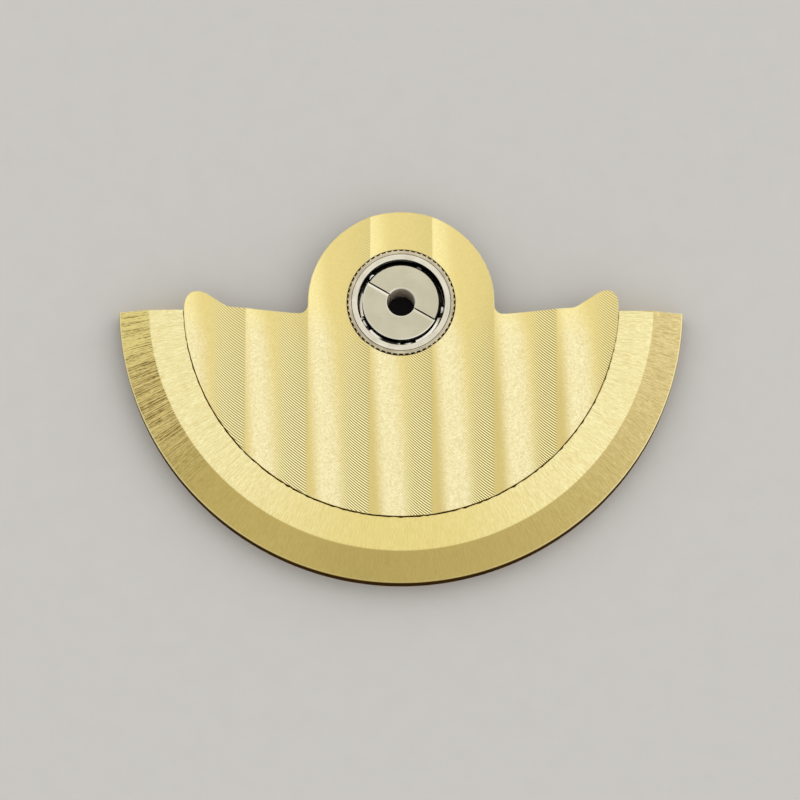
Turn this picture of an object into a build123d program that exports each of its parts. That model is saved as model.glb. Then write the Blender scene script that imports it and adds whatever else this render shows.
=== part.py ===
from build123d import *
import math
import os

# The oscillating weight of an automatic watch, complete with its ball bearing.
# A heavy half ring carries a fluted plate. A knurled collar is pressed into the plate, with a toothed
# ring on its foot that drives the winding train, and an outer race inside it. Five balls in a cage
# run between that race and an inner race made of two halves. The inner race is the only part that
# stays still in the watch: it sits on the movement's post, under the head of one screw.
# Millimetres. The origin is on the bearing's axis, at the face that sits on the movement.
# +Z is the show side, and the heavy half lies towards -Y.

# Fits that several pieces share, the overrun of every cut, and how near two points count as one
press_gap = 0.005
running_gap = 0.03
overrun = 1.0
same_place = 0.001

# Heavy half ring
outer_radius = 13.0
weight_height = 1.65
bevel_width = 1.4
bevel_drop = 0.62
band_width = 1.565
foot_chamfer = 0.12
end_offset = 0.38
ledge_edge = 0.09

# Fluted plate
plate_gap = 0.035
plate_thickness = 0.5
hub_radius = 4.29
hub_fillet = 0.4
arm_root_y = -0.57
arm_foot_y = -0.22
arm_fillet = 0.5
tab_width = 2.1
tab_corner_y = 1.09
tab_fillet = 0.65
flute_count = 7
flute_depth = 0.1

# Screws that hold the plate down on the ledge from the underside, and the turn each slot stopped at
screw_angles = (200, 235, 270, 305, 340)
slot_turns = (15, 80, 140, 35, 110)
screw_shank_radius = 0.29
screw_head_radius = 0.52
screw_head_height = 0.3
screw_recess = 0.04
screw_cover = 0.13
slot_width = 0.13
slot_depth = 0.13
screw_chamfer = 0.05
screw_play = 0.04

# Steady pins that place the plate on the ledge
pin_angles = {"left": 217.5, "right": 322.5}
pin_radius = 0.2
pin_depth = 0.45
pin_cover = 0.15

# Balls
ball_count = 5
first_ball_angle = 64.3
ball_radius = 0.25
ball_circle_radius = 1.9
track_play = 0.01
rim_standoff = 0.11

# Knurled collar and the outer race inside it
collar_top_drop = 0.03
collar_wall = 0.157
knurl_count = 56
knurl_depth = 0.07
knurl_root_share = 0.36
knurl_tip_share = 0.44
shoulder_width = 0.17
shoulder_height = 0.23
foot_wall = 0.1
lip_width = 0.095
lip_height = 0.2
race_wall = 0.09
race_foot_rise = 0.1
race_chamfer = 0.04

# Driving gear on the collar's foot
gear_height = 0.6
gear_rim = 0.24
tooth_count = 56
tooth_depth = 0.22
tooth_root_share = 0.34
tooth_tip_share = 0.24

# Cage
cage_side_gap = 0.04
cage_floor = 0.15
cage_rise = 0.12
pocket_play = 0.07

# Inner race, in two halves
inner_top_drop = 0.02
bore_radius = 0.63
bore_chamfer = 0.07
rim_chamfer = 0.04
foot_step = 0.4
flange_step = 0.13
flange_height = 0.13
split_angle = -30
split_gap = 0.04
split_offset = 0.08

# Radii that follow, from the rim inwards
bevel_radius = outer_radius - bevel_width
recess_radius = bevel_radius - band_width
plate_radius = recess_radius - plate_gap
ledge_width = 2 * (screw_head_radius + screw_play + ledge_edge)
ledge_radius = plate_radius - ledge_width
fixing_radius = plate_radius - ledge_width / 2
tab_side_x = math.sqrt(plate_radius**2 - end_offset**2)
arm_foot_x = plate_radius - tab_width
arm_root_x = math.sqrt(hub_radius**2 - arm_root_y**2)
flute_pitch = 2 * plate_radius / flute_count
flute_radius = ((flute_pitch / 2) ** 2 + flute_depth**2) / (2 * flute_depth)

# Radii that follow, from the balls outwards and inwards
groove_reach = (ball_radius + track_play) * math.sqrt(2)
groove_half = groove_reach - rim_standoff
outer_track_radius = ball_circle_radius + groove_reach
inner_track_radius = ball_circle_radius - groove_reach
race_bore_radius = ball_circle_radius + rim_standoff
inner_rim_radius = ball_circle_radius - rim_standoff
race_radius = outer_track_radius + race_wall
race_seat_radius = race_radius + press_gap
lip_radius = race_seat_radius - lip_width
knurl_radius = race_seat_radius + collar_wall
foot_radius = race_seat_radius + foot_wall
shoulder_radius = knurl_radius + shoulder_width
gear_bore_radius = foot_radius + press_gap
gear_root_radius = gear_bore_radius + gear_rim

# Heights that follow
plate_foot = weight_height - plate_thickness
screw_tip = weight_height - flute_depth - screw_cover
pin_top = weight_height - flute_depth - pin_cover
collar_top = weight_height - collar_top_drop
lip_foot = collar_top - lip_height
gear_top = plate_foot - shoulder_height
gear_foot = gear_top - gear_height
race_foot = gear_foot + race_foot_rise
ball_height = (race_foot + collar_top) / 2
inner_top = weight_height - inner_top_drop
pocket_floor = ball_height - ball_radius - running_gap
cage_foot = pocket_floor - cage_floor
cage_top = ball_height + cage_rise
flange_top = cage_foot - running_gap
flange_foot = flange_top - flange_height
ball_angles = [first_ball_angle + 360 * n / ball_count for n in range(ball_count)]


def turned(*corners):
    """A solid turned about Z from (radius, height) corners."""
    return revolve(Plane.XZ * make_face(Polyline(*corners, close=True)), Axis.Z)


def disc(radius, low, high):
    """A cylinder about Z between two heights."""
    return Pos(0, 0, low) * extrude(Circle(radius), high - low)


def at_polar(radius, angle, height=0):
    """The place at a radius and an angle in degrees about Z."""
    turn = math.radians(angle)
    return Pos(radius * math.cos(turn), radius * math.sin(turn), height)


def toothed(count, root_radius, depth, root_share, tip_share, low, high):
    """A wheel of trapezoid teeth. The shares are the part of one pitch that each land takes."""
    pitch = 2 * math.pi / count
    corners = []
    for n in range(count):
        for radius, turn in (
            (root_radius, -root_share / 2),
            (root_radius, root_share / 2),
            (root_radius + depth, (1 - tip_share) / 2),
            (root_radius + depth, (1 + tip_share) / 2),
        ):
            angle = (n + turn) * pitch
            corners.append((radius * math.cos(angle), radius * math.sin(angle)))
    return Pos(0, 0, low) * extrude(make_face(Polyline(*corners, close=True)), high - low)


def make_heavy_weight():
    """The half ring: a flat band, a bevel falling to the rim, and a ledge under the plate."""
    ring = turned(
        (ledge_radius, 0),
        (outer_radius - foot_chamfer, 0),
        (outer_radius, foot_chamfer),
        (outer_radius, weight_height - bevel_drop),
        (bevel_radius, weight_height),
        (recess_radius, weight_height),
        (recess_radius, plate_foot),
        (ledge_radius, plate_foot),
    )
    span = outer_radius + overrun
    ring -= Pos(0, span / 2 - end_offset, weight_height / 2) * Box(2 * span, span, 2 * span)
    for angle in screw_angles:
        spot = at_polar(fixing_radius, angle)
        ring -= spot * disc(screw_shank_radius + screw_play, -overrun, plate_foot + overrun)
        ring -= spot * disc(screw_head_radius + screw_play, -overrun, screw_recess + screw_head_height)
    for angle in pin_angles.values():
        spot = at_polar(fixing_radius, angle)
        ring -= spot * disc(pin_radius + press_gap, plate_foot - pin_depth, plate_foot + overrun)
    return ring


def plate_outline():
    """The plate seen from above: a fan with a tab at each tip, and the round hub over its middle."""
    corners = [
        (tab_side_x, -end_offset),
        (tab_side_x, tab_corner_y),
        (arm_foot_x, arm_foot_y),
        (arm_root_x, arm_root_y),
    ]
    far_corners = [(-x, y) for x, y in reversed(corners)]
    rim = ThreePointArc(far_corners[-1], (0, -plate_radius), corners[0])
    outline = make_face(Polyline(*corners, *far_corners) + rim) + Circle(hub_radius)
    for (x, y), radius in zip(corners[1:], (tab_fillet, arm_fillet, hub_fillet)):
        sharp = outline.vertices().filter_by(
            lambda v: abs(abs(v.X) - x) < same_place and abs(v.Y - y) < same_place
        )
        outline = fillet(sharp, radius)
    return outline


def make_carrier_plate():
    """The fluted plate, bored for the collar, with blind holes for the screws and steady pins."""
    plate = Pos(0, 0, plate_foot) * extrude(plate_outline(), plate_thickness)
    cutter = Rot(90, 0, 0) * Cylinder(flute_radius, 2 * (plate_radius + overrun))
    cutter_height = weight_height - flute_depth + flute_radius
    for n in range(flute_count):
        x = (n - (flute_count - 1) / 2) * flute_pitch
        plate -= Pos(x, 0, cutter_height) * cutter
    plate -= disc(knurl_radius + press_gap, 0, weight_height + overrun)
    for angle in screw_angles:
        plate -= at_polar(fixing_radius, angle) * disc(screw_shank_radius + press_gap, 0, screw_tip)
    for angle in pin_angles.values():
        plate -= at_polar(fixing_radius, angle) * disc(pin_radius + press_gap, 0, pin_top)
    return plate


def make_weight_screw(angle, slot_turn):
    """A slotted cheese-head screw, head down in its counterbore under the ledge."""
    head_top = screw_recess + screw_head_height
    tip = screw_tip - press_gap
    screw = turned(
        (0, screw_recess),
        (screw_head_radius - screw_chamfer, screw_recess),
        (screw_head_radius, screw_recess + screw_chamfer),
        (screw_head_radius, head_top),
        (screw_shank_radius, head_top),
        (screw_shank_radius, tip - screw_chamfer),
        (screw_shank_radius - screw_chamfer, tip),
        (0, tip),
    )
    slot = Box(2 * (screw_head_radius + overrun), slot_width, 2 * slot_depth)
    screw -= Pos(0, 0, screw_recess) * slot
    return at_polar(fixing_radius, angle) * Rot(0, 0, slot_turn) * screw


def make_steady_pin(angle):
    """A plain pin, half in the ledge and half in the plate."""
    foot = plate_foot - pin_depth + press_gap
    return at_polar(fixing_radius, angle) * disc(pin_radius, foot, pin_top - press_gap)


def make_hub_collar():
    """A knurled rim pressed into the plate, a shoulder under it, and a foot that carries the gear."""
    root_radius = knurl_radius - knurl_depth
    collar = toothed(
        knurl_count, root_radius, knurl_depth, knurl_root_share, knurl_tip_share, plate_foot, collar_top
    )
    collar += disc(shoulder_radius, gear_top, plate_foot)
    collar += disc(foot_radius, gear_foot, gear_top)
    collar -= disc(race_seat_radius, gear_foot - overrun, lip_foot)
    return collar - disc(lip_radius, gear_foot - overrun, collar_top + overrun)


def make_driving_gear():
    """The toothed ring pressed on the collar's foot, against the shoulder."""
    gear = toothed(
        tooth_count, gear_root_radius, tooth_depth, tooth_root_share, tooth_tip_share, gear_foot, gear_top
    )
    return gear - disc(gear_bore_radius, gear_foot - overrun, gear_top + overrun)


def make_outer_race():
    """The hardened ring under the collar's lip, with the grooved track that the balls run in."""
    neck_radius = lip_radius - press_gap
    return turned(
        (race_bore_radius, race_foot),
        (race_radius, race_foot),
        (race_radius, lip_foot),
        (neck_radius, lip_foot),
        (neck_radius, collar_top),
        (race_bore_radius + race_chamfer, collar_top),
        (race_bore_radius, collar_top - race_chamfer),
        (race_bore_radius, ball_height + groove_half),
        (outer_track_radius, ball_height),
        (race_bore_radius, ball_height - groove_half),
    )


def make_ball(angle):
    """One steel ball."""
    return at_polar(ball_circle_radius, angle, ball_height) * Sphere(ball_radius)


def make_ball_cage():
    """The ring that spaces the balls, with a pocket open at the top for each."""
    cage = disc(race_bore_radius - cage_side_gap, cage_foot, cage_top)
    cage -= disc(inner_rim_radius + cage_side_gap, cage_foot - overrun, cage_top + overrun)
    depth = cage_top - pocket_floor + overrun
    pocket = Box(ball_circle_radius, 2 * (ball_radius + pocket_play), depth)
    for angle in ball_angles:
        spot = at_polar(ball_circle_radius, angle, pocket_floor + depth / 2)
        cage -= spot * Rot(0, 0, angle) * pocket
    return cage


def make_inner_race():
    """The inner race before it is split: a grooved spool with a flange that keeps the cage up."""
    inner_foot_radius = inner_rim_radius - foot_step
    flange_radius = inner_rim_radius + flange_step
    return turned(
        (bore_radius, 0),
        (inner_foot_radius, 0),
        (inner_foot_radius, flange_foot),
        (flange_radius, flange_foot),
        (flange_radius, flange_top),
        (inner_rim_radius, flange_top),
        (inner_rim_radius, ball_height - groove_half),
        (inner_track_radius, ball_height),
        (inner_rim_radius, ball_height + groove_half),
        (inner_rim_radius, inner_top - rim_chamfer),
        (inner_rim_radius - rim_chamfer, inner_top),
        (bore_radius + bore_chamfer, inner_top),
        (bore_radius, inner_top - bore_chamfer),
    )


def make_inner_race_half(side):
    """One half of the inner race: side is 1 for the half away from the weight, -1 for the other."""
    span = 2 * (inner_rim_radius + overrun)
    block = Pos(0, side * (span + split_gap) / 2, inner_top / 2) * Box(span, span, span)
    return make_inner_race() & (Pos(0, split_offset, 0) * Rot(0, 0, split_angle) * block)


pieces = {
    "heavy_weight": make_heavy_weight(),
    "carrier_plate": make_carrier_plate(),
    "hub_collar": make_hub_collar(),
    "driving_gear": make_driving_gear(),
    "outer_race": make_outer_race(),
    "ball_cage": make_ball_cage(),
    "inner_race_upper_half": make_inner_race_half(1),
    "inner_race_lower_half": make_inner_race_half(-1),
}
for number, angle in enumerate(ball_angles, 1):
    pieces[f"bearing_ball_{number}"] = make_ball(angle)
for number, (angle, slot_turn) in enumerate(zip(screw_angles, slot_turns), 1):
    pieces[f"weight_screw_{number}"] = make_weight_screw(angle, slot_turn)
for side, angle in pin_angles.items():
    pieces[f"steady_pin_{side}"] = make_steady_pin(angle)

os.makedirs("parts", exist_ok=True)
for name, piece in pieces.items():
    export_step(piece, f"parts/{name}.step")
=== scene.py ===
import bmesh
import bpy
import math
from mathutils import Matrix, Vector, noise


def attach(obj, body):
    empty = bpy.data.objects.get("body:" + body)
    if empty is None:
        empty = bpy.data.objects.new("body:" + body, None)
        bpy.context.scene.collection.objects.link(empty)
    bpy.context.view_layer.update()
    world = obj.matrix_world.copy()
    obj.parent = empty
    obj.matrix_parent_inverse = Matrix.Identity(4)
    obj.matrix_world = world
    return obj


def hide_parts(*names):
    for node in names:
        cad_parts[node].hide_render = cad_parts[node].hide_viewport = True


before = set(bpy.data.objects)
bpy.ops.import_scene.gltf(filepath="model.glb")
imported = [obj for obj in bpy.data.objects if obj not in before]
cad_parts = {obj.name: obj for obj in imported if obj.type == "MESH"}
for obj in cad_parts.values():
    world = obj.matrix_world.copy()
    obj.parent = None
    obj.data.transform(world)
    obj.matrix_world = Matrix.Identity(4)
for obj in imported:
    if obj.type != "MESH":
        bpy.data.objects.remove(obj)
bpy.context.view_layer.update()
scene = bpy.context.scene
scene.view_settings.view_transform = "Standard"

# Camera. It looks down on the rotor from the side of the half ring, 12 degrees off the bearing's axis,
# through a long lens and with a trace of roll.
camera_distance = 0.2
view_width = 0.0366
camera_tilt = 12
camera_roll = 0.15
camera_aim = Vector((-0.00004, -0.00461, 0.00165))
camera = bpy.data.objects.new("camera", bpy.data.cameras.new("camera"))
camera.data.lens = camera.data.sensor_width * camera_distance / view_width
camera.data.clip_start = camera_distance / 20
tilt_turn = Matrix.Rotation(math.radians(camera_tilt), 4, "X")
roll_turn = Matrix.Rotation(math.radians(camera_roll), 4, "Z")
camera_stand = Matrix.Translation((0, 0, camera_distance))
camera.matrix_world = Matrix.Translation(camera_aim) @ tilt_turn @ roll_turn @ camera_stand
scene.collection.objects.link(camera)
scene.camera = camera

# Floor and light. A pale matt table in a plain pale room, brighter overhead, to the right and at the
# back, with one large soft box. A small dark disc under the open bore is painted shade, so that the bore
# looks deep.
floor_size = 1.2
floor_drop = 0.00002
disc_radius = 0.00063
warm_white = (1, 0.985, 0.96)
room_level = 0.63
gain_right = 0.17
gain_back = 0.14
gain_overhead = 0.38
lamp_place = Vector((0.1, 0.12, 0.3))
lamp_size = 0.25
lamp_level = 0.16


class Socket:
    """One output of a material's nodes. Arithmetic on it adds Math nodes to the material."""

    def __init__(self, tree, end=None):
        self.tree = tree
        self.end = end

    def node(self, kind, settings, inputs, output=0):
        """Adds a node: its settings first, then the value or link of each socket."""
        made = self.tree.nodes.new(kind)
        for name, value in settings.items():
            setattr(made, name, value)
        for name, value in inputs.items():
            if isinstance(value, Socket):
                self.tree.links.new(value.end, made.inputs[name])
            else:
                made.inputs[name].default_value = value
        return Socket(self.tree, made.outputs[output] if made.outputs else None)

    def other(self, name):
        """Another output of the same node."""
        return Socket(self.tree, self.end.node.outputs[name])

    def math(self, operation, *values):
        return self.node("ShaderNodeMath", {"operation": operation}, dict(enumerate((self, *values))))

    def __add__(self, value):
        return self.math("ADD", value)

    def __mul__(self, value):
        return self.math("MULTIPLY", value)

    def __sub__(self, value):
        return self.math("SUBTRACT", value)

    def __rsub__(self, value):
        return self.node("ShaderNodeMath", {"operation": "SUBTRACT"}, {0: value, 1: self})

    __radd__ = __add__
    __rmul__ = __mul__

    def vector(self, second, third=0.0):
        return self.node("ShaderNodeCombineXYZ", {}, {0: self, 1: second, 2: third})

    def noise(self, scale, detail=2.0, roughness=0.5):
        values = {"Vector": self, "Scale": scale, "Detail": detail, "Roughness": roughness}
        return self.node("ShaderNodeTexNoise", {}, values)

    def ramp(self, low, high, start=0.0, end=1.0):
        """Goes smoothly from start to end while this goes from low to high."""
        values = {"Value": self, "From Min": low, "From Max": high, "To Min": start, "To Max": end}
        return self.node("ShaderNodeMapRange", {"interpolation_type": "SMOOTHSTEP"}, values)

    def blend(self, first, second):
        """A colour that goes from the first to the second while this goes from 0 to 1."""
        return self.node("ShaderNodeMix", {"data_type": "RGBA"}, {0: self, 6: first, 7: second}, 2)


def tone(red, green, blue):
    """A colour as it looks on a screen, from 0 to 255, in the linear values that a shader takes."""
    shares = [part / 255 for part in (red, green, blue)]
    linear = [share / 12.92 if share < 0.04045 else ((share + 0.055) / 1.055) ** 2.4 for share in shares]
    return (*linear, 1.0)


def new_finish(name):
    """An empty material, and the place on a piece in millimetres."""
    finish = bpy.data.materials.new(name)
    finish.use_nodes = True
    finish.node_tree.nodes.clear()
    start = Socket(finish.node_tree)
    place = start.node("ShaderNodeTexCoord", {}, {}, "Object")
    return finish, place.node("ShaderNodeMapping", {}, {"Vector": place, "Scale": (1000, 1000, 1000)})


def matt(place, colour, roughness):
    """Ends a material as a plain matt surface."""
    surface = place.node("ShaderNodeBsdfPrincipled", {}, {"Base Color": colour, "Roughness": roughness})
    place.node("ShaderNodeOutputMaterial", {}, {"Surface": surface})


floor_form = bmesh.new()
bmesh.ops.create_grid(floor_form, x_segments=1, y_segments=1, size=floor_size / 2)
bmesh.ops.translate(floor_form, vec=(0, 0, -floor_drop), verts=floor_form.verts)
table_finish, spot = new_finish("pale_table")
matt(spot, spot.noise(0.8, 4.0, 0.6).blend(tone(206, 205, 202), tone(212, 211, 208)), 0.8)
# The bore_shade disc is painted shade under the open bore.
disc_form = bmesh.new()
bmesh.ops.create_circle(disc_form, cap_ends=True, segments=64, radius=disc_radius)
bmesh.ops.translate(disc_form, vec=(0, 0, -floor_drop / 2), verts=disc_form.verts)
disc_finish, spot = new_finish("painted_shade_disc")
matt(spot, spot.noise(6.0, 3.0).blend(tone(8, 8, 8), tone(16, 16, 16)), 0.9)
for stage_name, form, finish in (
    ("floor", floor_form, table_finish),
    ("bore_shade", disc_form, disc_finish),
):
    mesh = bpy.data.meshes.new(stage_name)
    form.to_mesh(mesh)
    form.free()
    mesh.materials.append(finish)
    stage = bpy.data.objects.new(stage_name, mesh)
    scene.collection.objects.link(stage)

room = bpy.data.worlds.new("room")
room.use_nodes = True
room.node_tree.nodes.clear()
sky = Socket(room.node_tree)
way = sky.node("ShaderNodeTexCoord", {}, {}, "Generated")
right = way.node("ShaderNodeSeparateXYZ", {}, {0: way})
level = right * gain_right + right.other("Y") * gain_back + right.other("Z") * gain_overhead + room_level
room_light = sky.node("ShaderNodeBackground", {}, {"Color": (*warm_white, 1), "Strength": level})
sky.node("ShaderNodeOutputWorld", {}, {"Surface": room_light})
scene.world = room

lamp_data = bpy.data.lights.new("soft_box", "AREA")
lamp_data.shape = "SQUARE"
lamp_data.size = lamp_size
lamp_data.energy = lamp_level * math.pi * lamp_size**2
lamp_data.color = warm_white
lamp = bpy.data.objects.new("soft_box", lamp_data)
lamp.location = lamp_place
lamp.rotation_euler = (-lamp_place).to_track_quat("-Z", "Y").to_euler()
scene.collection.objects.link(lamp)

# Heavy weight. A half ring of gilt heavy metal, turned from a disc and sawn off flat at the ends. Its
# band and bevel are brushed outwards, with painted light and shade by angle and a painted highlight on
# the rim's edge. The rim's wall keeps its turning rings under a darker gilt that is painted shade, and
# the ragged gap round the plate's recess is painted dark brown as shade. The ledge is bored from beneath
# for the screws.
outer_radius = 13.0
weight_height = 1.65
bevel_radius = 11.6
bevel_foot = 1.03
recess_radius = 10.035
plate_radius = 10.0
tight_gap = 0.01
loose_gap = 0.06
gap_shift = 0.006
raggedness = 0.03
nicks_per_radian = 50
ledge_radius = 8.7
plate_foot = 1.15
foot_chamfer = 0.12
end_offset = 0.38
crisp_edge = 0.04
bore_mouth = 0.04
fixing_radius = 9.35
screw_head_radius = 0.52
screw_head_top = 0.34
screw_shank_radius = 0.29
screw_play = 0.04
first_screw_angle = 200
last_screw_angle = 340
screw_count = 5
overrun = 1
same_place = 0.0002
hair = 0.01
near = 0.05


def lathe(corners, steps, easing=0.0):
    """Turns a closed line of (radius, height) corners about Z, with its corners eased off."""
    form = bmesh.new()
    points = [form.verts.new((radius, 0, height)) for radius, height in corners]
    form.faces.new(points)
    if easing:
        worn = [point for point in points if point.co.x > 0]
        bmesh.ops.bevel(
            form, geom=worn, offset=easing, offset_type="OFFSET", segments=2, profile=0.5,
            affect="VERTICES", clamp_overlap=True, material=-1,
        )
    bmesh.ops.delete(form, geom=form.faces[:], context="FACES_ONLY")
    on_axis = [edge for edge in form.edges if all(v.co.x < same_place for v in edge.verts)]
    bmesh.ops.delete(form, geom=on_axis, context="EDGES")
    bmesh.ops.spin(
        form, geom=form.verts[:] + form.edges[:], cent=(0, 0, 0), axis=(0, 0, 1), dvec=(0, 0, 0),
        angle=math.tau, steps=steps, use_merge=True,
    )
    bmesh.ops.remove_doubles(form, verts=form.verts, dist=same_place)
    bmesh.ops.recalc_face_normals(form, faces=form.faces)
    return form


def sliced(form, point, facing):
    """Cuts off what lies beyond a plane, closes the cut and returns its edges."""
    everything = form.verts[:] + form.edges[:] + form.faces[:]
    cut = bmesh.ops.bisect_plane(
        form, geom=everything, plane_co=point, plane_no=facing, clear_outer=True
    )
    rim = [item for item in cut["geom_cut"] if isinstance(item, bmesh.types.BMEdge)]
    bmesh.ops.holes_fill(form, edges=rim, sides=0)
    return rim


def carved(form, tool):
    """What is left of one form when another is cut out of it."""
    pair = []
    for shape in (form, tool):
        mesh = bpy.data.meshes.new("cut")
        shape.to_mesh(mesh)
        shape.free()
        stock = bpy.data.objects.new("cut", mesh)
        scene.collection.objects.link(stock)
        pair.append(stock)
    cut = pair[0].modifiers.new("cut", "BOOLEAN")
    cut.object = pair[1]
    cut.solver = "EXACT"
    result = bmesh.new()
    result.from_object(pair[0], bpy.context.evaluated_depsgraph_get())
    for stock in pair:
        mesh = stock.data
        bpy.data.objects.remove(stock)
        bpy.data.meshes.remove(mesh)
    return result


def make_piece(name, form, *finishes):
    """Turns a form drawn in millimetres into a piece in metres. Corners over five degrees stay crisp."""
    bmesh.ops.scale(form, vec=(0.001, 0.001, 0.001), verts=form.verts)
    mesh = bpy.data.meshes.new(name)
    form.to_mesh(mesh)
    form.free()
    for face in mesh.polygons:
        face.use_smooth = True
    mesh.set_sharp_from_angle(angle=math.radians(5))
    for finish in finishes:
        mesh.materials.append(finish)
    piece = bpy.data.objects.new(name, mesh)
    scene.collection.objects.link(piece)
    return piece


def metal(place, colour, roughness, relief, depth, bareness=1.0, glance=(1, 1, 1, 1)):
    """Ends a material as bare metal, with tool marks that many millimetres deep."""
    marks = {"Height": relief, "Distance": depth * 0.001, "Strength": 1.0}
    values = {
        "Base Color": colour,
        "Metallic": bareness,
        "Roughness": roughness,
        "Specular Tint": glance,
        "Normal": place.node("ShaderNodeBump", {}, marks),
    }
    surface = place.node("ShaderNodeBsdfPrincipled", {}, values)
    place.node("ShaderNodeOutputMaterial", {}, {"Surface": surface})


def polar(place):
    """The angle about the axis, the radius in millimetres, and the height."""
    across = place.node("ShaderNodeSeparateXYZ", {}, {0: place})
    along = across.other("Y")
    turn = along.math("ARCTAN2", across)
    radius = (across * across + along * along).math("SQRT")
    return turn, radius, across.other("Z")


brushed_gilt, spot = new_finish("brushed_gilt")
turn, radius = polar(spot)[:2]
rightward = turn.math("COSINE")
sideways = rightward.math("ABSOLUTE").ramp(0.1, 0.85)
lower_left = rightward.ramp(-0.1, -0.5)
left_end = rightward.ramp(-0.68, -0.92)
left_tip = rightward.ramp(-0.95, -1.0)
right_end = rightward.math("MAXIMUM", 0.0).math("POWER", 3.0)
# Each stroke of the brush is fine across, where the angle changes, and long outwards.
fine = (turn * 330).vector(radius * 3.6).noise(1.0, 3.0, 0.7)
scratch = (turn * 150).vector(radius * 1.2, 7.0).noise(1.0, 4.0, 0.7)
score = (turn * 380).vector(radius * 0.45, 3.0).noise(1.0, 2.0, 0.6)
nick = (turn * 280).vector(radius * 1.1, 11.0).noise(1.0, 1.0, 0.5).ramp(0.6, 0.68) * right_end
rare = (turn * 210).vector(radius * 0.7, 19.0).noise(1.0, 1.0, 0.5).ramp(0.64, 0.72)
streak = (fine * 0.6 + scratch * 0.4).ramp(0.36, 0.64) - rare * 0.6
left_streak = (score * 0.6 + fine * 0.4 + left_tip * 0.04).ramp(0.4, 0.56)
# The left end of the bevel is scored hard and painted deep in colour as shade, and the right end has a
# few nicks.
bevel_streak = left_end * left_streak + (1 - left_end) * (streak * 0.8 + score * 0.2) - nick * 1.5
# Painted light and shade by angle: the band is paler towards its ends, and the bevel is darker at the
# lower left and the left end and paler at the right end.
band_dark = sideways.blend(tone(219, 202, 126), tone(230, 213, 146))
band_pale = sideways.blend(tone(237, 221, 149), tone(255, 248, 197))
side_dark = left_tip.blend(tone(128, 104, 44), tone(104, 78, 22))
side_pale = left_tip.blend(tone(246, 224, 148), tone(255, 238, 156))
plain_dark = lower_left.blend(tone(192, 172, 100), tone(203, 182, 106))
plain_pale = lower_left.blend(tone(208, 187, 114), tone(222, 201, 122))
plain_dark = right_end.blend(plain_dark, tone(200, 179, 116))
plain_pale = right_end.blend(plain_pale, tone(252, 235, 174))
bevel_dark = left_end.blend(plain_dark, side_dark)
bevel_pale = left_end.blend(plain_pale, side_pale)
bevel_colour = bevel_streak.blend(bevel_dark, bevel_pale)
# A painted highlight along the rim's outer edge, strongest at the ends.
rim_highlight = radius.ramp(outer_radius - 0.085, outer_radius - 0.055)
rim_highlight = rim_highlight * (0.15 + 0.75 * rightward * rightward)
bevel_colour = rim_highlight.blend(bevel_colour, tone(255, 244, 184))
on_bevel = radius.ramp(bevel_radius - hair, bevel_radius + hair)
metal(
    spot,
    on_bevel.blend(streak.blend(band_dark, band_pale), bevel_colour),
    0.34 + streak * 0.1,
    streak * (0.35 + sideways * 0.65),
    0.006,
)

turned_finishes = []
for finish_name, dark, light, glance in (
    ("turned_gilt", tone(198, 173, 104), tone(224, 201, 133), (1, 1, 1, 1)),
    # Painted shade: a darker gilt for the rim's wall, with a dark specular tint as a painted dark
    # reflection.
    ("wall_painted_shade", tone(104, 79, 32), tone(148, 117, 58), tone(96, 72, 28)),
    # Painted shade: a dark brown gilt for the walls of the gap round the plate, with a dark specular
    # tint.
    ("gap_painted_shade", tone(112, 80, 0), tone(156, 110, 2), tone(110, 76, 0)),
):
    finish, spot = new_finish(finish_name)
    turn, radius, height = polar(spot)
    rings = (turn * 1.5).vector(radius * 26, height * 26).noise(1.0, 2.0, 0.6)
    stain = spot.noise(0.7, 3.0, 0.6)
    colour = (rings * 0.8 + stain * 0.2).ramp(0.25, 0.75).blend(dark, light)
    metal(spot, colour, 0.34 + stain * 0.08, rings, 0.003, glance=glance)
    turned_finishes.append(finish)

sawn_gilt, spot = new_finish("sawn_gilt")
across = spot.node("ShaderNodeSeparateXYZ", {}, {0: spot})
lines = (across * 1.5).vector(across.other("Y") * 1.5, across.other("Z") * 55).noise(1.0, 2.0, 0.6)
stain = spot.noise(1.1, 3.0, 0.6)
metal(
    spot,
    (lines * 0.75 + stain * 0.25).ramp(0.25, 0.75).blend(tone(200, 174, 104), tone(226, 203, 134)),
    0.36 + stain * 0.08,
    lines,
    0.002,
)

# Painted highlight: a pale gilt on the weight's eased edges by the recess and at the ends, and on the
# plate's eased rims.
edge_highlight_gilt, spot = new_finish("edge_highlight_gilt")
edge_mottle = spot.noise(5.0, 3.0, 0.6)
edge_highlight_colour = edge_mottle.ramp(0.3, 0.7).blend(tone(240, 226, 164), tone(255, 250, 212))
metal(spot, edge_highlight_colour, 0.26 + edge_mottle * 0.1, edge_mottle, 0.002)

form = lathe(
    (
        (ledge_radius, 0),
        (outer_radius - foot_chamfer, 0),
        (outer_radius, foot_chamfer),
        (outer_radius, bevel_foot),
        (bevel_radius, weight_height),
        (recess_radius, weight_height),
        (recess_radius, plate_foot),
        (ledge_radius, plate_foot),
    ),
    360,
)
sliced(form, (0, -end_offset, 0), (0, 1, 0))
bmesh.ops.recalc_face_normals(form, faces=form.faces)
corners = [edge for edge in form.edges if edge.calc_face_angle(0) > math.radians(15)]
bmesh.ops.bevel(
    form, geom=corners, offset=crisp_edge, offset_type="OFFSET", segments=2, profile=0.5,
    affect="EDGES", clamp_overlap=False, material=-1,
)
head_bore = screw_head_radius + screw_play
shank_bore = screw_shank_radius + screw_play
bores = lathe(
    (
        (0, -overrun),
        (head_bore + bore_mouth + overrun, -overrun),
        (head_bore, bore_mouth),
        (head_bore, screw_head_top),
        (shank_bore, screw_head_top),
        (shank_bore, plate_foot + overrun),
        (0, plate_foot + overrun),
    ),
    64,
)
start = math.radians(first_screw_angle)
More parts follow.
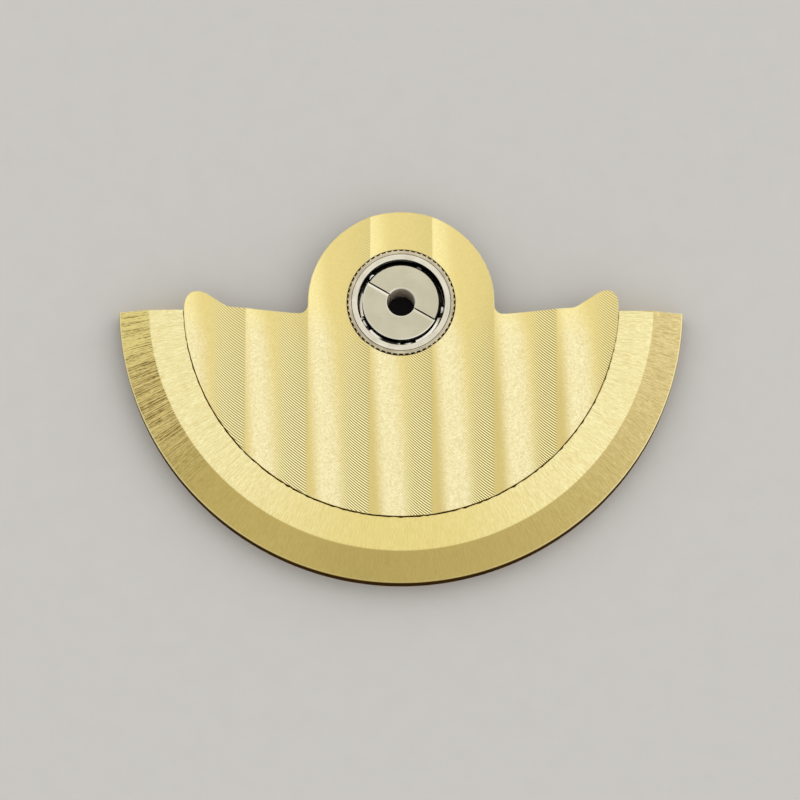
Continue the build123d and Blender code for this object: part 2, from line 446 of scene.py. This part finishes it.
bmesh.ops.translate(
    bores, vec=(fixing_radius * math.cos(start), fixing_radius * math.sin(start), 0), verts=bores.verts
)
bmesh.ops.spin(
    bores, geom=bores.verts[:] + bores.edges[:] + bores.faces[:], cent=(0, 0, 0), axis=(0, 0, 1),
    dvec=(0, 0, 0), angle=math.radians(last_screw_angle - first_screw_angle), steps=screw_count - 1,
    use_duplicate=True,
)
for corner in form.verts:
    reach = corner.co.xy.length
    if abs(reach - recess_radius) < 1.2 * crisp_edge and corner.co.z > plate_foot - hair:
        down = -corner.co.y / reach
        ragged = noise.noise(Vector((math.atan2(corner.co.y, corner.co.x) * nicks_per_radian, 0, 0)))
        gap = tight_gap + (loose_gap - tight_gap) * down - gap_shift * corner.co.x / reach
        gap = max(gap + raggedness * (1 + down) * ragged, tight_gap / 2)
        corner.co.xy *= (reach + gap - recess_radius + plate_radius) / reach
form = carved(form, bores)
for face in form.faces:
    middle = face.calc_center_median()
    reach = middle.xy.length
    upward = face.normal.z
    if middle.z > bevel_foot - hair and upward > 0.15 and reach > recess_radius - 2 * near:
        face.material_index = 0 if upward > 0.88 or reach > outer_radius - 2 * near else 4
    elif face.normal.y > 0.9 and middle.y > -end_offset - near:
        face.material_index = 3
    elif middle.z > plate_foot and reach < plate_radius + 10 * near:
        face.material_index = 5 if reach > plate_radius - near else 1
    else:
        face.material_index = 2 if reach > outer_radius - near else 1
turned_gilt, wall_painted_shade, gap_painted_shade = turned_finishes
piece = make_piece(
    "rim_weight", form, brushed_gilt, turned_gilt, wall_painted_shade, sawn_gilt, edge_highlight_gilt, gap_painted_shade
)
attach(piece, "rotor")
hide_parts("heavy_weight")

# Carrier plate. A gilt plate with a round hub and a rounded tab at each tip. A rotating abrasive cup
# was drawn along each of its seven flutes, which leaves a fine frosted grain on one side of the flute and
# fine curved cuts on the other. A bright band on the frosted side is a painted highlight. Its wall in the
# weight's recess and its bore are painted dark brown as shade, and its eased rims carry a painted
# highlight.
hub_radius = 4.29
hub_fillet = 0.4
arm_root = Vector((4.252, -0.57, 0))
arm_foot = Vector((8.0, -0.2, 0))
arm_fillet = 0.5
tab_corner = Vector((9.9928, 1.09, 0))
right_tab_fillet = 0.65
left_tab_fillet = 0.76
plate_bore = 2.4867
flute_count = 7
flute_depth = 0.1
flute_pitch = 2 * plate_radius / flute_count
flute_radius = ((flute_pitch / 2) ** 2 + flute_depth**2) / (2 * flute_depth)
strips_per_flute = 22
strip_seam = 0.002
plate_easing = 0.025
cut_pitch = 0.1272


def arc(form, start, centre, angle, steps):
    """Sweeps a point about an upright line and returns the two ends of the arc."""
    first = form.verts.new(start)
    swept = bmesh.ops.spin(
        form, geom=[first], cent=centre, axis=(0, 0, 1), dvec=(0, 0, 0), angle=angle, steps=steps
    )
    return first, [item for item in swept["geom_last"] if isinstance(item, bmesh.types.BMVert)][0]


def thickened(form, foot, easing):
    """Makes a level sheet, seen from above, into a solid that goes down to a foot, with eased rims."""
    rim = [corner for corner in form.verts if corner.is_boundary]
    bmesh.ops.inset_region(
        form, faces=form.faces[:], thickness=easing, depth=0, use_boundary=True, use_even_offset=True
    )
    for corner in rim:
        corner.co.z -= easing
    made = bmesh.ops.extrude_face_region(form, geom=form.faces[:], use_keep_orig=True)["geom"]
    for corner in [item for item in made if isinstance(item, bmesh.types.BMVert)]:
        corner.co.z = foot + easing
    floor_faces = [item for item in made if isinstance(item, bmesh.types.BMFace)]
    bmesh.ops.inset_region(
        form, faces=floor_faces, thickness=easing, depth=0, use_boundary=True, use_even_offset=True
    )
    for corner in {v for face in floor_faces for v in face.verts}:
        corner.co.z = foot
    bmesh.ops.recalc_face_normals(form, faces=form.faces)
    return form


arm = (arm_foot - arm_root).normalized()
side = Vector((-arm.y, arm.x, 0))
lifted = arm_root + side * hub_fillet
reach = lifted.dot(arm)
slide = math.sqrt(reach**2 - lifted.length_squared + (hub_radius + hub_fillet) ** 2) - reach
fillet_centre = lifted + arm * slide
fillet_start = fillet_centre.normalized() * hub_radius
fillet_end = fillet_centre - side * hub_fillet
hub_turn = math.atan2(fillet_start.x, fillet_start.y)
fillet_turn = (fillet_start - fillet_centre).angle(fillet_end - fillet_centre)
rim_start = Vector((tab_corner.x, -end_offset, 0))
rim_turn = math.pi / 2 + math.atan2(rim_start.y, rim_start.x)

form = bmesh.new()
hub_top = arc(form, (0, hub_radius, 0), (0, 0, 0), -hub_turn, 90)[0]
root_end = arc(form, fillet_start, fillet_centre, fillet_turn, 10)[1]
foot_point = form.verts.new(arm_foot)
tab_point = form.verts.new(tab_corner)
rim_top, rim_end = arc(form, rim_start, (0, 0, 0), -rim_turn, 120)
bore_foot, bore_top = arc(form, (0, -plate_bore, 0), (0, 0, 0), math.pi, 90)
for pair in (
    (root_end, foot_point),
    (foot_point, tab_point),
    (tab_point, rim_top),
    (rim_end, bore_foot),
    (bore_top, hub_top),
):
    form.edges.new(pair)
bmesh.ops.remove_doubles(form, verts=form.verts, dist=same_place)
bmesh.ops.contextual_create(form, geom=form.edges[:])
everything = form.verts[:] + form.edges[:] + form.faces[:]
bmesh.ops.mirror(form, geom=everything, axis="X", merge_dist=same_place)
bmesh.ops.remove_doubles(form, verts=form.verts, dist=same_place)
to_left = Vector((-1, 1, 1))
for point, radius in (
    (arm_foot, arm_fillet),
    (arm_foot * to_left, arm_fillet),
    (tab_corner, right_tab_fillet),
    (tab_corner * to_left, left_tab_fillet),
):
    corner = min(form.verts, key=lambda v: (v.co - point).length)
    ways = [edge.other_vert(corner).co - corner.co for edge in corner.link_edges]
    reach = radius / math.tan(ways[0].angle(ways[1]) / 2)
    bmesh.ops.bevel(
        form, geom=[corner], offset=reach, offset_type="OFFSET", segments=12, profile=0.5,
        affect="VERTICES", clamp_overlap=False, material=-1,
    )
strip = flute_pitch / strips_per_flute
for n in range(1, math.ceil(plate_radius / strip)):
    for place in (n * strip, -n * strip):
        everything = form.verts[:] + form.edges[:] + form.faces[:]
        bmesh.ops.bisect_plane(form, geom=everything, plane_co=(place, 0, 0), plane_no=(1, 0, 0))
bmesh.ops.remove_doubles(form, verts=form.verts, dist=strip_seam)
bmesh.ops.translate(form, vec=(0, 0, weight_height), verts=form.verts)
form = thickened(form, plate_foot, plate_easing)
for point in form.verts:
    if point.co.z > weight_height - flute_depth:
        from_middle = (point.co.x + flute_pitch / 2) % flute_pitch - flute_pitch / 2
        point.co.z -= flute_depth - flute_radius + math.sqrt(flute_radius**2 - from_middle**2)

fluted_gilt, spot = new_finish("fluted_gilt")
across = spot.node("ShaderNodeSeparateXYZ", {}, {0: spot})
along = across.other("Y")
flute = ((across + plate_radius) * (1 / flute_pitch)).math("FRACT")
on_hub = along.ramp(-2.0, 0.5)
grain = spot.noise(19.0, 2.0, 0.7) * 0.65 + spot.noise(8.0, 2.0, 0.6) * 0.35
grain = ((grain - 0.5) * (1 - on_hub * 0.4) + 0.5).ramp(0.32, 0.68)
cloud = (across * 0.8).vector(along * 0.3).noise(1.0, 3.0, 0.55)
down = (along + 1.5) * -1
# The painted highlight widens and drifts to the right as it runs down from the hub.
near_side = (flute - (down * 0.018 + across * 0.007 - on_hub * 0.05 + 0.05)).ramp(-0.11, 0.12)
far_side = (flute - (down * 0.03 + across * 0.012 - on_hub * 0.08 + 0.38)).ramp(-0.14, 0.19)
flute_highlight = near_side * (1 - far_side) * (0.86 + cloud * 0.28)
# Painted shade: lower down, the left of each flute is painted darker.
crest_shade = along.ramp(1.5, -5.0) * across.ramp(-9.0, 2.0, 0.5, 1.0)
valley = 1 - crest_shade * (1 - flute.ramp(0.2, 0.5) * (1 - flute.ramp(0.65, 1.0)))
tan_dark = valley.blend(tone(203, 185, 117), tone(222, 204, 133))
tan_pale = valley.blend(tone(217, 199, 131), tone(238, 221, 149))
highlight_dim = on_hub.blend(tone(224, 209, 152), tone(232, 215, 142))
highlight_bright = on_hub.blend(tone(254, 247, 203), tone(255, 244, 182))
ground = flute_highlight.blend(grain.blend(tan_dark, tan_pale), grain.blend(highlight_dim, highlight_bright))
# The cuts begin at the hub's middle, higher up near the tips, and are strongest at the foot.
outer = across.math("ABSOLUTE").ramp(4.0, 6.5)
reached = along - outer * across.ramp(-5.0, 5.0, 1.9, 2.7)
lower = reached.ramp(0.0, -3.2, 0.0, 0.7) + reached.ramp(-3.0, -6.2, 0.0, 0.3)
cut_start = down * 0.006 + across * 0.009 + 0.45
cuts_on = (flute - cut_start).ramp(0.0, 0.26) * (1 - flute.ramp(0.95, 1.0, 0.0, 0.5)) * lower
hub_cuts = along.ramp(1.2, 2.2) * along.ramp(4.1, 3.3) * (flute - along * 0.06).ramp(0.66, 0.82)
hub_cuts = hub_cuts * across.ramp(-0.5, -1.3) * across.ramp(-4.0, -2.0)
cuts_on = cuts_on * across.ramp(7.0, 8.5, 1.0, 0.7) * across.ramp(-9.0, -4.0, 0.82, 1.0) + hub_cuts * 0.24
# Each cut is an arc of the cup, which slopes down to the right and flattens a little.
from_start = (flute - 0.5) * flute_pitch
bend = from_start * (1.095 - from_start * 0.158)
wander = (across * 1.2).vector(along * 1.2, 5.0).noise(1.0, 2.0, 0.5) * 0.02
height = (along + bend + wander) * (math.tau / cut_pitch)
cut = (height.math("SINE") * 0.5 + 0.68).ramp(0.18, 0.88)
rightmost = across.ramp(-8.0, 8.0)
cut_dark = rightmost.blend(tone(142, 101, 0), tone(122, 83, 0))
cut_pale = rightmost.blend(tone(255, 253, 197), tone(255, 248, 184))
metal(
    spot,
    cuts_on.blend(ground, cut.blend(cut_dark, cut_pale)),
    0.4 + grain * 0.08,
    cut * cuts_on + grain * 0.4,
    0.003,
)

for face in form.faces:
    if face.normal.z > 0.3:
        face.material_index = 0 if face.normal.z > 0.97 else 2
    elif face.normal.z < -0.9:
        face.material_index = 3
    else:
        middle = face.calc_center_median()
        reach = middle.xy.length
        in_recess = middle.y < -end_offset and reach > plate_radius - near
        face.material_index = 4 if in_recess or reach < plate_bore + near else 1
piece = make_piece("fluted_plate", form, fluted_gilt, sawn_gilt, edge_highlight_gilt, turned_gilt, gap_painted_shade)
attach(piece, "rotor")
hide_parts("carrier_plate")

# Weight screws. Five slotted cheese-head screws of polished steel, driven up from beneath through the
# ledge into the plate, so that none of them shows from above. Each slot stopped where it came tight.
screw_seat = 0.04
screw_chamfer = 0.05
screw_tip = 1.415
slot_width = 0.13
slot_depth = 0.13
slot_turns = (15, 80, 140, 35, 110)
screw_easing = 0.012
polished_steel, spot = new_finish("polished_screw_steel")
across = spot.node("ShaderNodeSeparateXYZ", {}, {0: spot})
lines = (across * 3).vector(across.other("Y") * 26, across.other("Z") * 9).noise(1.0, 3.0, 0.6)
haze = spot.noise(1.6, 3.0, 0.6)
metal(
    spot,
    (lines * 0.5 + haze * 0.5).ramp(0.3, 0.7).blend(tone(150, 150, 150), tone(196, 196, 194)),
    0.22 + haze * 0.16,
    lines,
    0.002,
)
for number, slot_turn in enumerate(slot_turns, 1):
    form = lathe(
        (
            (0, screw_seat),
            (screw_head_radius - screw_chamfer, screw_seat),
            (screw_head_radius, screw_seat + screw_chamfer),
            (screw_head_radius, screw_head_top),
            (screw_shank_radius, screw_head_top),
            (screw_shank_radius, screw_tip - screw_chamfer),
            (screw_shank_radius - screw_chamfer, screw_tip),
            (0, screw_tip),
        ),
        64,
        screw_easing,
    )
    slot = bmesh.new()
    bmesh.ops.create_cube(slot, size=1.0)
    bmesh.ops.scale(slot, vec=(4 * screw_head_radius, slot_width, 2 * slot_depth), verts=slot.verts)
    bmesh.ops.translate(slot, vec=(0, 0, screw_seat), verts=slot.verts)
    form = carved(form, slot)
    spin = Matrix.Rotation(math.radians(slot_turn), 3, "Z")
    bmesh.ops.rotate(form, matrix=spin, verts=form.verts)
    step = (last_screw_angle - first_screw_angle) / (screw_count - 1)
    angle = math.radians(first_screw_angle + step * (number - 1))
    bmesh.ops.translate(
        form, vec=(fixing_radius * math.cos(angle), fixing_radius * math.sin(angle), 0), verts=form.verts
    )
    piece = make_piece(f"ledge_screw_{number}", form, polished_steel)
    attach(piece, "rotor")
    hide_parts(f"weight_screw_{number}")

# Steady pins. Two short pins of drawn steel wire, hidden between the ledge and the plate, which set
# the plate true on the weight.
drawn_steel, spot = new_finish("drawn_steel")
drawn_lines = spot.node("ShaderNodeMapping", {}, {"Vector": spot, "Scale": (12, 12, 0.6)})
lines = drawn_lines.noise(1.0, 2.0, 0.6)
drawn_colour = lines.ramp(0.3, 0.7).blend(tone(140, 138, 134), tone(184, 182, 178))
metal(spot, drawn_colour, 0.3 + lines * 0.1, lines, 0.002)
for pin_name in ("steady_pin_left", "steady_pin_right"):
    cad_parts[pin_name].material_slots[0].material = drawn_steel

# Hub collar. A steel ring pressed into the plate's hole: its knurled rim bites in the gilt plate and
# shows as a ring of dark notches, painted dark as shade. A shoulder under the plate takes the load, the
# foot carries the driving gear, and a lip at the top holds the outer race down.
knurl_count = 56
knurl_root = 2.429
knurl_depth = 0.053
knurl_root_share = 0.6
knurl_tip_share = 0.34
lip_radius = 2.283
lip_foot = 1.42
race_seat = 2.3627
collar_top = 1.62
collar_foot_radius = 2.4627
shoulder_radius = 2.69
gear_top = 0.92
gear_foot = 0.32
collar_easing = 0.015
collar_foot_easing = 0.02
notch_depth = 0.03
tooth_seam = 0.0005
bearing_steps = 180


def toothed_sheet(count, bore, root, depth, root_share, tip_share):
    """A level ring with teeth round it: one tooth, turned about Z as often as there are teeth."""
    form = bmesh.new()
    spots = (
        (root, -root_share / 2),
        (root, root_share / 2),
        (root + depth, (1 - tip_share) / 2),
        (root + depth, (1 + tip_share) / 2),
        (root, 1 - root_share / 2),
    )
    pairs = []
    for radius, share in spots:
        angle = share * math.tau / count
        way = Vector((math.cos(angle), math.sin(angle), 0))
        pairs.append((form.verts.new(way * bore), form.verts.new(way * radius)))
    for (inner, outer), (next_inner, next_outer) in zip(pairs, pairs[1:]):
        form.faces.new((inner, outer, next_outer, next_inner))
    bmesh.ops.spin(
        form, geom=form.verts[:] + form.edges[:] + form.faces[:], cent=(0, 0, 0), axis=(0, 0, 1),
        dvec=(0, 0, 0), angle=math.tau * (count - 1) / count, steps=count - 1, use_duplicate=True,
    )
    bmesh.ops.remove_doubles(form, verts=form.verts, dist=tooth_seam)
    return form


def joined(*forms):
    """Several closed forms as one."""
    whole = bmesh.new()
    for form in forms:
        mesh = bpy.data.meshes.new("part")
        form.to_mesh(mesh)
        form.free()
        whole.from_mesh(mesh)
        bpy.data.meshes.remove(mesh)
    return whole


def turned_steel(name, dark, light, roughness):
    """A steel finish left by the lathe: faint rings about the bearing's axis, and a little haze."""
    finish, place = new_finish(name)
    turn, radius, height = polar(place)
    rings = (turn * 2).vector(radius * 22, height * 22).noise(1.0, 3.0, 0.65)
    haze = place.noise(1.4, 4.0, 0.6)
    colour = (rings * 0.5 + haze * 0.5).ramp(0.32, 0.68).blend(dark, light)
    metal(place, colour, roughness + haze * 0.1, rings, 0.002)
    return finish


collar_steel = turned_steel("collar_steel", tone(158, 148, 123), tone(219, 208, 180), 0.36)
# Painted shade: a near black steel for the walls in the bearing's gap.
painted_shade_steel = turned_steel("painted_shade_steel", tone(20, 19, 18), tone(38, 36, 33), 0.42)
# Painted shade: a dark steel for the notches of the knurl.
notch_painted_shade = turned_steel("notch_painted_shade", tone(84, 72, 46), tone(128, 114, 82), 0.5)
form = toothed_sheet(knurl_count, lip_radius, knurl_root, knurl_depth, knurl_root_share, knurl_tip_share)
bmesh.ops.translate(form, vec=(0, 0, collar_top), verts=form.verts)
form = thickened(form, plate_foot, collar_easing)
seat = lathe(((0, -overrun), (race_seat, -overrun), (race_seat, lip_foot), (0, lip_foot)), bearing_steps)
form = carved(form, seat)
foot = lathe(
    (
        (race_seat, gear_foot),
        (collar_foot_radius, gear_foot),
        (collar_foot_radius, gear_top),
        (shoulder_radius, gear_top),
        (shoulder_radius, plate_foot),
        (race_seat, plate_foot),
    ),
    bearing_steps,
    collar_foot_easing,
)
form = joined(form, foot)
for face in form.faces:
    middle = face.calc_center_median()
    sunk = middle.z < collar_top - notch_depth and middle.xy.length > knurl_root - hair
    face.material_index = 1 if sunk and middle.z > plate_foot else 0
piece = make_piece("knurled_collar", form, collar_steel, notch_painted_shade)
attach(piece, "rotor")
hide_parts("hub_collar")

# Driving gear. A hardened steel ring of 56 teeth, milled and pressed on the collar's foot. It turns
# the winding train through a wheel that isn't part of the rotor.
tooth_count = 56
gear_bore = 2.4677
gear_root = 2.7077
tooth_depth = 0.22
tooth_root_share = 0.34
tooth_tip_share = 0.24
gear_easing = 0.02
gear_steel = turned_steel("gear_steel", tone(158, 155, 148), tone(190, 187, 180), 0.3)
form = toothed_sheet(tooth_count, gear_bore, gear_root, tooth_depth, tooth_root_share, tooth_tip_share)
bmesh.ops.translate(form, vec=(0, 0, gear_top), verts=form.verts)
form = thickened(form, gear_foot, gear_easing)
piece = make_piece("winding_gear", form, gear_steel)
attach(piece, "rotor")
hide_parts("driving_gear")

# Outer race. A hardened ring with a ground top, held under the collar's lip. The balls run in the
# groove of its bore. The bore is painted near black as shade from the groove down, and all of it on the
# hub's far side.
race_bore = 2.01
race_radius = 2.3577
race_neck = 2.267
race_foot = 0.42
race_chamfer = 0.014
ball_height = 1.02
groove_half = 0.2577
outer_track = 2.2677
shade_from = 0.7
race_easing = 0.008
race_steel = turned_steel("race_steel", tone(201, 196, 178), tone(229, 224, 207), 0.3)
form = lathe(
    (
        (race_bore, race_foot),
        (race_radius, race_foot),
        (race_radius, lip_foot),
        (race_neck, lip_foot),
        (race_neck, collar_top),
        (race_bore + race_chamfer, collar_top),
        (race_bore, collar_top - race_chamfer),
        (race_bore, ball_height + groove_half),
        (outer_track, ball_height),
        (race_bore, ball_height - groove_half),
    ),
    bearing_steps,
    race_easing,
)
for face in form.faces:
    middle = face.calc_center_median()
    inward = face.normal.x * middle.x + face.normal.y * middle.y < -0.2
    far_wall = middle.y > shade_from and middle.z < collar_top - race_chamfer
    shaded = middle.z < ball_height + groove_half or far_wall
    face.material_index = 1 if inward and shaded else 0
piece = make_piece("outer_ball_race", form, race_steel, painted_shade_steel)
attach(piece, "rotor")
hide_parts("outer_race")

# Cage. A thin ring of pressed steel between the races, with an open pocket for each ball. Its rims
# are bright, and it is painted dark as shade at two places.
cage_inner = 1.8
cage_lip = 1.785
cage_outer = 1.95
cage_crown = 1.92
cage_fall = 0.02
cage_foot = 0.59
cage_shoulder = 0.84
cage_top = 1.0
pocket_floor = 0.74
pocket_width = 0.74
ball_circle = 1.9
ball_radius = 0.25
ball_count = 5
first_ball_angle = math.radians(64.3)
cage_easing = 0.01
cage_steel, spot = new_finish("cage_steel")
turn, radius, height = polar(spot)
rings = (turn * 2).vector(radius * 22, height * 22).noise(1.0, 3.0, 0.65)
# Painted shade at two places round the cage.
dark_patch = (turn - 0.45).math("COSINE").ramp(0.55, 0.85) + (turn + 1.87).math("COSINE").ramp(0.95, 0.985)
steel_colour = rings.ramp(0.32, 0.68).blend(tone(222, 217, 203), tone(246, 243, 232))
metal(spot, dark_patch.blend(steel_colour, tone(44, 41, 36)), 0.1 + rings * 0.08, rings, 0.001)
form = lathe(
    (
        (cage_inner, cage_foot),
        (cage_outer, cage_foot),
        (cage_outer, cage_shoulder),
        (cage_crown, cage_top - cage_fall),
        (cage_lip, cage_top),
        (cage_inner, cage_shoulder),
    ),
    bearing_steps,
    cage_easing,
)
pockets = bmesh.new()
bmesh.ops.create_cube(pockets, size=1.0)
bmesh.ops.scale(pockets, vec=(ball_circle, pocket_width, 2 * overrun), verts=pockets.verts)
bmesh.ops.translate(pockets, vec=(ball_circle, 0, pocket_floor + overrun), verts=pockets.verts)
bmesh.ops.rotate(pockets, matrix=Matrix.Rotation(first_ball_angle, 3, "Z"), verts=pockets.verts)
bmesh.ops.spin(
    pockets, geom=pockets.verts[:] + pockets.edges[:] + pockets.faces[:], cent=(0, 0, 0),
    axis=(0, 0, 1), dvec=(0, 0, 0), angle=math.tau * (ball_count - 1) / ball_count,
    steps=ball_count - 1, use_duplicate=True,
)
form = carved(form, pockets)
piece = make_piece("ball_spacer", form, cage_steel)
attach(piece, "cage")
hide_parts("ball_cage")

# Balls. Five lapped and polished steel balls, which roll in the grooves of the two races. The first
# is darker.
ball_steel, spot = new_finish("ball_steel")
turn = polar(spot)[0]
haze = spot.noise(5.0, 3.0, 0.6)
dark_patch = (turn - first_ball_angle).math("COSINE").ramp(0.97, 0.995)
clean = haze.ramp(0.35, 0.65).blend(tone(196, 195, 188), tone(218, 217, 211))
metal(spot, dark_patch.blend(clean, tone(96, 93, 86)), 0.08 + haze * 0.08, haze, 0.0005)
for n in range(ball_count):
    angle = first_ball_angle + math.tau * n / ball_count
    form = bmesh.new()
    bmesh.ops.create_uvsphere(form, u_segments=40, v_segments=24, radius=ball_radius)
    ball_place = (ball_circle * math.cos(angle), ball_circle * math.sin(angle), ball_height)
    bmesh.ops.translate(form, vec=ball_place, verts=form.verts)
    piece = make_piece(f"ball_{n + 1}", form, ball_steel)
    piece.data.set_sharp_from_angle(angle=math.pi)
    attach(piece, f"ball_{n + 1}")
    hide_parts(f"bearing_ball_{n + 1}")

# Inner race. A grooved steel spool in two halves, which is how the balls get in, clamped between a
# shoulder and a screw's head. The tops are ground with a fine straight grain, the split is a hairline
# with its lower edge broken and a painted highlight below it, the track and the walls in the gap are
# painted near black as shade, parts of the chamfers carry a painted highlight, and the bore is dull.
bore_radius = 0.63
bore_chamfer = 0.06
bore_drop = 0.035
core_top = 1.63
core_rim = 1.775
rim_chamfer = 0.055
rim_drop = 0.018
inner_track = 1.5323
core_foot_radius = 1.39
flange_radius = 1.92
flange_foot = 0.43
flange_top = 0.56
race_half_easing = 0.01
split_slope = math.radians(30)
split_way = Vector((math.sin(split_slope), math.cos(split_slope), 0))
split_middle = Vector((0, 0.08, 0))
split_half_gap = 0.016
core_steel, spot = new_finish("core_steel")
across = spot.node("ShaderNodeSeparateXYZ", {}, {0: spot})
along = across.other("Y")
lines = (across * 0.9).vector(along * 24, across.other("Z") * 8).noise(1.0, 3.0, 0.6)
haze = spot.noise(0.9, 3.0, 0.5)
ground_face = (lines * 0.3 + haze * 0.7).ramp(0.32, 0.68).blend(tone(191, 187, 163), tone(204, 199, 176))
# A painted highlight along the lower side of the split, strongest at the left.
from_split = across * split_way.x + (along - split_middle.y) * split_way.y
split_highlight = from_split.ramp(-0.2, -0.08) * (1 - from_split.ramp(-0.03, 0.0))
split_highlight = split_highlight * across.ramp(1.6, -1.0, 0.35, 1.0)
metal(
    spot,
    (split_highlight * 0.9).blend(ground_face, tone(240, 237, 221)),
    0.34 + haze * 0.12,
    lines,
    0.0012,
)
chamfer_highlight_steel = turned_steel("chamfer_highlight_steel", tone(216, 212, 194), tone(240, 237, 224), 0.26)
bore_steel, spot = new_finish("bore_steel")
haze = spot.noise(4.0, 3.0, 0.6)
dull_colour = haze.ramp(0.3, 0.7).blend(tone(186, 178, 160), tone(216, 208, 190))
metal(spot, dull_colour, 0.5 + haze * 0.1, haze, 0.002, bareness=0.3)
for half_name, side, broken_edge in (("upper", 1, 0.01), ("lower", -1, 0.03)):
    form = lathe(
        (
            (bore_radius, 0),
            (core_foot_radius, 0),
            (core_foot_radius, flange_foot),
            (flange_radius, flange_foot),
            (flange_radius, flange_top),
            (core_rim, flange_top),
            (core_rim, ball_height - groove_half),
            (inner_track, ball_height),
            (core_rim, ball_height + groove_half),
            (core_rim, core_top - rim_drop),
            (core_rim - rim_chamfer, core_top),
            (bore_radius + bore_chamfer, core_top),
            (bore_radius + bore_chamfer / 2, core_top - bore_drop / 2),
            (bore_radius, core_top - bore_drop),
        ),
        bearing_steps,
        race_half_easing,
    )
    sliced(form, split_middle + split_way * side * split_half_gap, split_way * -side)
    bmesh.ops.recalc_face_normals(form, faces=form.faces)
    top_edges = [
        edge
        for edge in form.edges
        if len(edge.link_faces) == 2
        and max(face.normal.z for face in edge.link_faces) > 0.9
        and min(face.normal.dot(split_way) * side for face in edge.link_faces) < -0.9
    ]
    bmesh.ops.bevel(
        form, geom=top_edges, offset=broken_edge, offset_type="OFFSET", segments=1, profile=0.5,
        affect="EDGES", clamp_overlap=False, material=-1,
    )
    for face in form.faces:
        middle = face.calc_center_median()
        reach = middle.xy.length
        if face.normal.z > 0.99 or face.normal.z < -0.9:
            face.material_index = 0
        # Painted highlight: a brighter steel on the lower half's rim chamfer and outer bore chamfer, and
        # on the upper half's bore chamfer.
        elif face.normal.z > 0.2 and middle.z > core_top - bore_drop:
            bright = reach > bore_radius + bore_chamfer / 2 if side < 0 else reach < core_rim / 2
            face.material_index = 3 if bright else 1
        else:
            face.material_index = 2 if reach < bore_radius + hair else 1
    piece = make_piece(f"inner_race_{half_name}", form, core_steel, painted_shade_steel, bore_steel, chamfer_highlight_steel)
    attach(piece, "core")
    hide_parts(f"inner_race_{half_name}_half")
